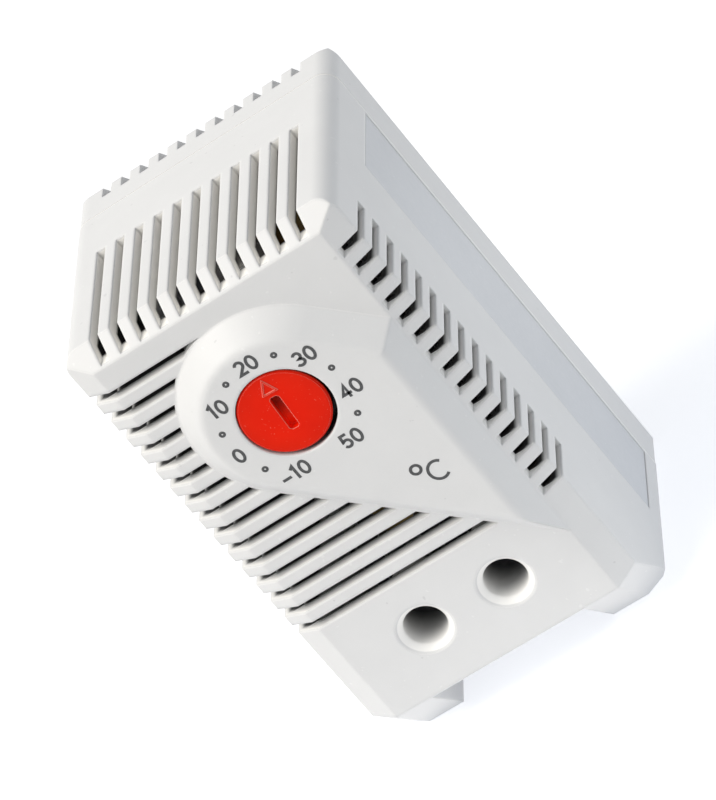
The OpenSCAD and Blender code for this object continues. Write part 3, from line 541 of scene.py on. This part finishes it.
INK_THICK = 0.02 * MM
INK_LINE = 0.32 * MM
DOT_R, DOT_LINE, DOT_SIDES = 0.23 * MM, 0.27 * MM, 20
SCALE_FROM, SCALE_STEP, SCALE_COUNT = -10, 10, 7
SCALE_SWEEP = radians(300)
SCALE_R = 6.93 * MM
SCALE_OFF = (0.17 * MM, -0.28 * MM)
FIGURE_H = 1.72 * MM
UNIT_AT = {"°": (6.61 * MM, -13.08 * MM, 1.32 * MM), "C": (8.46 * MM, -14.36 * MM, 2.6 * MM)}
facing = Matrix.Rotation(pi / 2, 4, "X")
scale_x = dial_x + SCALE_OFF[0]
scale_z = dial_z + SCALE_OFF[1]


def on_boss(x, z):
    """Place of a drawing on the flat top of the boss."""
    return Matrix.Translation((x, boss_face_y - INK_THICK, z)) @ facing


def printed_scale():
    """Numbers round the dial and the unit sign, as one layer of ink."""
    sheet = bmesh.new()
    for i in range(SCALE_COUNT):
        turn = SCALE_SWEEP * (i / (SCALE_COUNT - 1) - 0.5)
        place = on_boss(scale_x + SCALE_R * sin(turn), scale_z + SCALE_R * cos(turn))
        figures(sheet, str(SCALE_FROM + i * SCALE_STEP), FIGURE_H, INK_LINE, place)
    for sign, (x, z, height) in UNIT_AT.items():
        figures(sheet, sign, height, INK_LINE, on_boss(dial_x + x, dial_z + z))
    skin = bmesh.ops.extrude_face_region(sheet, geom=sheet.faces[:])
    back = [item for item in skin["geom"] if isinstance(item, bmesh.types.BMVert)]
    bmesh.ops.translate(sheet, verts=back, vec=(0.0, INK_THICK, 0.0))
    bmesh.ops.recalc_face_normals(sheet, faces=sheet.faces[:])
    mesh = bpy.data.meshes.new("printed_scale")
    sheet.to_mesh(mesh)
    sheet.free()
    return link_piece("printed_scale", mesh, "ink", HOUSING)


def grown(name, inputs, build, finish):
    """The plain mesh that a Geometry Nodes tree grows from named numbers."""
    tree = bpy.data.node_groups.new(name, "GeometryNodeTree")
    for key in inputs:
        tree.interface.new_socket(key, in_out="INPUT", socket_type="NodeSocketFloat")
    tree.interface.new_socket("Geometry", in_out="OUTPUT", socket_type="NodeSocketGeometry")
    start = Wire(tree, None)
    form = build(start, *[start.node("NodeGroupInput", out=key) for key in inputs])
    real = start.node("GeometryNodeRealizeInstances", {}, {"Geometry": form}, "Geometry")
    coated = start.node("GeometryNodeSetMaterial", {},
                        {"Geometry": real, "Material": FINISHES[finish]}, "Geometry")
    start.node("NodeGroupOutput", {}, {"Geometry": coated})
    holder = bpy.data.objects.new(name, bpy.data.meshes.new(name))
    bpy.context.scene.collection.objects.link(holder)
    growth = holder.modifiers.new(name, "NODES")
    growth.node_group = tree
    for item in tree.interface.items_tree:
        if item.in_out == "INPUT":
            growth[item.identifier] = float(inputs[item.name])
    return settled(holder)


def ring_dots(start, count, radius, step, first, ring_r, line, thick):
    """Rings of ink between the numbers, on a circle in the XZ plane."""
    index = start.node("GeometryNodeInputIndex", out="Index")
    turn = index * step + first
    at = start.node("ShaderNodeCombineXYZ", {}, {"X": radius * start.math("SINE", turn),
                                                 "Z": radius * start.math("COSINE", turn)}, "Vector")
    spots = start.node("GeometryNodePoints", {}, {"Count": count, "Position": at}, "Points")
    circle = start.node("GeometryNodeCurvePrimitiveCircle", {},
                        {"Resolution": DOT_SIDES, "Radius": ring_r}, "Curve")
    section = start.node("GeometryNodeCurvePrimitiveQuadrilateral", {},
                         {"Width": line, "Height": thick}, "Curve")
    ring = start.node("GeometryNodeCurveToMesh", {}, {"Curve": circle, "Profile Curve": section}, "Mesh")
    return start.node("GeometryNodeInstanceOnPoints", {}, {"Points": spots, "Instance": ring,
                                                           "Rotation": (pi / 2, 0.0, 0.0)}, "Instances")


def printed_dots():
    """Dots half-way between the numbers, as one layer of ink."""
    step = SCALE_SWEEP / (SCALE_COUNT - 1)
    mesh = grown("ring_dots", {"Count": SCALE_COUNT - 1, "Radius": SCALE_R, "Step": step,
                               "First": (step - SCALE_SWEEP) / 2, "Ring radius": DOT_R,
                               "Line": DOT_LINE, "Thickness": INK_THICK}, ring_dots, "ink")
    mesh.transform(Matrix.Translation((scale_x, boss_face_y - INK_THICK / 2, scale_z)))
    return link_piece("printed_dots", mesh, "ink", HOUSING)


printed_scale()
printed_dots()

TURN_STEPS, THREAD_SIDES, WIRE_SIDES = 24, 4, 10


def winding(start, radius, ridge, length, turns, left_hand, sides):
    """A ridge or a wire that winds round the Z axis."""
    spiral = start.node("GeometryNodeCurveSpiral", {}, {"Resolution": TURN_STEPS, "Rotations": turns,
                                                        "Start Radius": radius, "End Radius": radius,
                                                        "Height": length, "Reverse": left_hand}, "Curve")
    upright = start.node("GeometryNodeSetCurveNormal", {"mode": "Z_UP"}, {"Curve": spiral}, "Curve")
    section = start.node("GeometryNodeCurvePrimitiveCircle", {},
                         {"Resolution": sides, "Radius": ridge}, "Curve")
    return start.node("GeometryNodeCurveToMesh", {},
                      {"Curve": upright, "Profile Curve": section, "Fill Caps": True}, "Mesh")


to_rear = Matrix.Rotation(-pi / 2, 4, "X")


def thread(name, axis, core_r, ridge, span, pitch, left_hand, finish, body):
    """Thread on a screw whose axis runs from front to rear through axis (x, z)."""
    length = span[1] - span[0]
    mesh = grown(name, {"Radius": core_r, "Ridge": ridge, "Length": length, "Turns": length / pitch,
                        "Left hand": left_hand, "Sides": THREAD_SIDES}, winding, finish)
    mesh.transform(Matrix.Translation((axis[0], span[0], axis[1])) @ to_rear)
    return link_piece(name, mesh, finish, body)


HEAD_T = 1.8 * MM
SCREW_CORE, SCREW_RIDGE, SCREW_PITCH = 1.25 * MM, 0.22 * MM, 0.5 * MM
SPINDLE_CORE, SPINDLE_RIDGE, SPINDLE_PITCH = 1.5 * MM, 0.22 * MM, 1.25 * MM
SPINDLE_TIP = 0.4 * MM
_, spindle_high = box_of("setting_spindle")
screw_span = (driver_low.y + HEAD_T + 2 * SCREW_RIDGE, driver_high.y - SCREW_RIDGE)
spindle_span = (dial_high.y + SPINDLE_RIDGE, spindle_high.y - SPINDLE_TIP - SPINDLE_RIDGE)
for side, sign in (("left", -1), ("right", 1)):
    thread(f"screw_{side}_thread", (sign * driver_x, driver_z), SCREW_CORE, SCREW_RIDGE, screw_span,
           SCREW_PITCH, False, "zinc", f"screw_{side}")
thread("spindle_thread", (dial_x, dial_z), SPINDLE_CORE, SPINDLE_RIDGE, spindle_span,
       SPINDLE_PITCH, True, "brass", "dial")


def coil(name, mean_r, wire_r, length, turns, place):
    """Spring wire wound round the Z axis from the origin and then put in place."""
    mesh = grown(name, {"Radius": mean_r, "Wire": wire_r, "Length": length, "Turns": turns,
                        "Left hand": False, "Sides": WIRE_SIDES}, winding, "spring")
    mesh.transform(place)
    return link_piece(name, mesh, "spring")


# Spring between nut and strip, drawn in two halves
SETTING_WIRE, SETTING_TURNS = 0.25 * MM, 5
push_low, push_high = box_of("setting_spring")
push_r = (push_high.x - push_low.x) / 2 - SETTING_WIRE
half_length = (push_high.y - push_low.y) / 2 - SETTING_WIRE
push_front = Vector((dial_x, push_low.y + SETTING_WIRE, dial_z))
push_mid = push_front + Vector((0.0, half_length, 0.0))
half_turns = SETTING_TURNS / 2
carry_on = Matrix.Rotation(2 * pi * half_turns, 4, "Z")
front_half = coil("setting_spring_front", push_r, SETTING_WIRE, half_length, half_turns,
                  Matrix.Translation(push_front) @ to_rear)
rear_half = coil("setting_spring_rear", push_r, SETTING_WIRE, half_length, half_turns,
                 Matrix.Translation(push_mid) @ to_rear @ carry_on)
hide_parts("setting_spring")
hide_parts("setting_spring")
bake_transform(front_half)
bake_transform(rear_half)

# Return spring, which the latch presses from above as it slides down; here it rides along with the latch
LATCH_WIRE, LATCH_TURNS = 0.15 * MM, 6
latch_joint = next(joint for joint in frame["joints"] if joint["name"] == "latch_slide")
latch_travel = max(abs(end) for end in latch_joint["range_m"])
return_low, return_high = box_of("latch_spring")
return_r = (return_high.x - return_low.x) / 2 - LATCH_WIRE
return_length = return_high.z - return_low.z
return_mid = (return_low + return_high) / 2
return_foot = Vector((return_mid.x, return_mid.y, return_low.z + LATCH_WIRE))
return_coil = coil("latch_return_spring", return_r, LATCH_WIRE, return_length - 2 * LATCH_WIRE, LATCH_TURNS,
                   Matrix.Translation(return_foot))
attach(return_coil, "latch")
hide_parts("latch_spring")
1.0 - latch_travel / return_length
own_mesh(return_coil)

# Camera, from the fit of the solids to the photo
CAMERA_AT = Vector((161.2743, -452.0044, 223.1918)) * MM
CAMERA_RIGHT = Vector((0.810301, 0.002614, -0.586008))
CAMERA_UP = Vector((0.493961, 0.534992, 0.68541))
CAMERA_BACK = Vector((0.315301, -0.844853, 0.432213))
FOCAL_PX, IMAGE_LONG_PX, SENSOR_MM = 4967.6, 800, 36.0

camera_data = bpy.data.cameras.new("photo_camera")
camera_data.sensor_width = SENSOR_MM
camera_data.lens = FOCAL_PX / IMAGE_LONG_PX * SENSOR_MM
camera = bpy.data.objects.new("photo_camera", camera_data)
camera_turn = Matrix((CAMERA_RIGHT, CAMERA_UP, CAMERA_BACK)).transposed().to_4x4()
camera.matrix_world = Matrix.Translation(CAMERA_AT) @ camera_turn
bpy.context.scene.collection.objects.link(camera)
bpy.context.scene.camera = camera


# Floor and light. The floor glows near the part, as a light table does, and looks white further off
FLOOR_GREY, FLOOR_HAZE, FLOOR_HALF = 0.68, 0.01, 6.0
TABLE_GLOW, TABLE_R = 0.46, (0.04, 0.14)
NEAR_GLOW, NEAR_R = 0.12, (0.03, 0.1)
FLOOR_GLOW = 0.34
FAR_GLOW, FAR_R = 0.85, (0.1, 0.6)
GLOW_COLOUR = (0.925, 0.948, 1.0)
AMBIENT, AMBIENT_COLOUR = 0.54, (0.945, 0.967, 1.0)
KEY_COLOUR, SIDE_COLOUR = (1.0, 0.958, 0.88), (0.8, 0.92, 1.0)
WHITE, BLACK = (1.0, 1.0, 1.0), (0.0, 0.0, 0.0)


def seen_directly(place):
    """1 where a ray comes from the camera or from a mirror-like or clear surface."""
    camera_ray, glossy_ray, clear_ray = [place.node("ShaderNodeLightPath", out=ray) for ray in
                                         ("Is Camera Ray", "Is Glossy Ray", "Is Transmission Ray")]
    return camera_ray.most(glossy_ray).most(clear_ray)


def studio_floor():
    """Pale floor that reads as white and keeps a soft shadow."""
    material, place = blank_material("studio_floor")
    haze = noise(place, 6.0, 2.0)
    colour = tint(place, haze, (FLOOR_GREY - FLOOR_HAZE,) * 3, (FLOOR_GREY + FLOOR_HAZE,) * 3)
    paint = place.node("ShaderNodeBsdfDiffuse", {}, {"Color": colour}, "BSDF")
    far = place.node("ShaderNodeVectorMath", {"operation": "LENGTH"}, {0: place}, "Value")
    patch = spread(place, far, *TABLE_R, TABLE_GLOW, 0.0, "SMOOTHSTEP")
    rise = spread(place, far, *NEAR_R, NEAR_GLOW, FLOOR_GLOW)
    seen = seen_directly(place) * (rise + spread(place, far, *FAR_R, 0.0, FAR_GLOW - FLOOR_GLOW))
    lit = tint(place, seen + patch, BLACK, GLOW_COLOUR)
    glow = place.node("ShaderNodeEmission", {}, {"Color": lit, "Strength": 1.0}, "Emission")
    both = place.node("ShaderNodeAddShader", {}, {0: paint, 1: glow}, "Shader")
    place.node("ShaderNodeOutputMaterial", {}, {"Surface": both})
    mesh = bpy.data.meshes.new("studio_floor")
    corners = [(x * FLOOR_HALF, y * FLOOR_HALF, cad_box[0][2])
               for x, y in ((-1, -1), (1, -1), (1, 1), (-1, 1))]
    mesh.from_pydata(corners, [], [(0, 1, 2, 3)])
    mesh.materials.append(material)
    floor = bpy.data.objects.new("studio_floor", mesh)
    bpy.context.scene.collection.objects.link(floor)


def studio_sky():
    """Even light from all round, behind which the sky looks white."""
    world = bpy.data.worlds.new("studio_sky")
    bpy.context.scene.world = world
    world.use_nodes = True
    tree = world.node_tree
    tree.nodes.clear()
    start = Wire(tree, None)
    direct = seen_directly(start)
    light, white = [start.node("ShaderNodeBackground", {},
                               {"Color": (*colour, 1.0), "Strength": level}, "Background")
                    for colour, level in ((AMBIENT_COLOUR, AMBIENT), (WHITE, 1.0))]
    mixed = start.node("ShaderNodeMixShader", {}, {0: direct, 1: light, 2: white}, "Shader")
    start.node("ShaderNodeOutputWorld", {}, {"Surface": mixed})


def softbox(name, direction, distance, size, level, colour):
    """Area lamp that gives a face turned to it the stated level of light."""
    lamp = bpy.data.lights.new(name, "AREA")
    lamp.shape = "DISK"
    lamp.size = size
    lamp.energy = level * pi * pi * distance * distance
    lamp.color = colour
    holder = bpy.data.objects.new(name, lamp)
    towards = Vector(direction).normalized()
    holder.location = towards * distance
    holder.rotation_euler = towards.to_track_quat("Z", "Y").to_euler()
    bpy.context.scene.collection.objects.link(holder)


studio_floor()
studio_sky()
softbox("key_light", (-0.44, -0.38, 0.85), distance=0.9, size=0.6, level=0.83, colour=KEY_COLOUR)
softbox("side_light", (0.95, -0.3, -0.12), distance=0.13, size=0.05, level=0.09, colour=SIDE_COLOUR)
bpy.context.scene.view_settings.view_transform = "Standard"
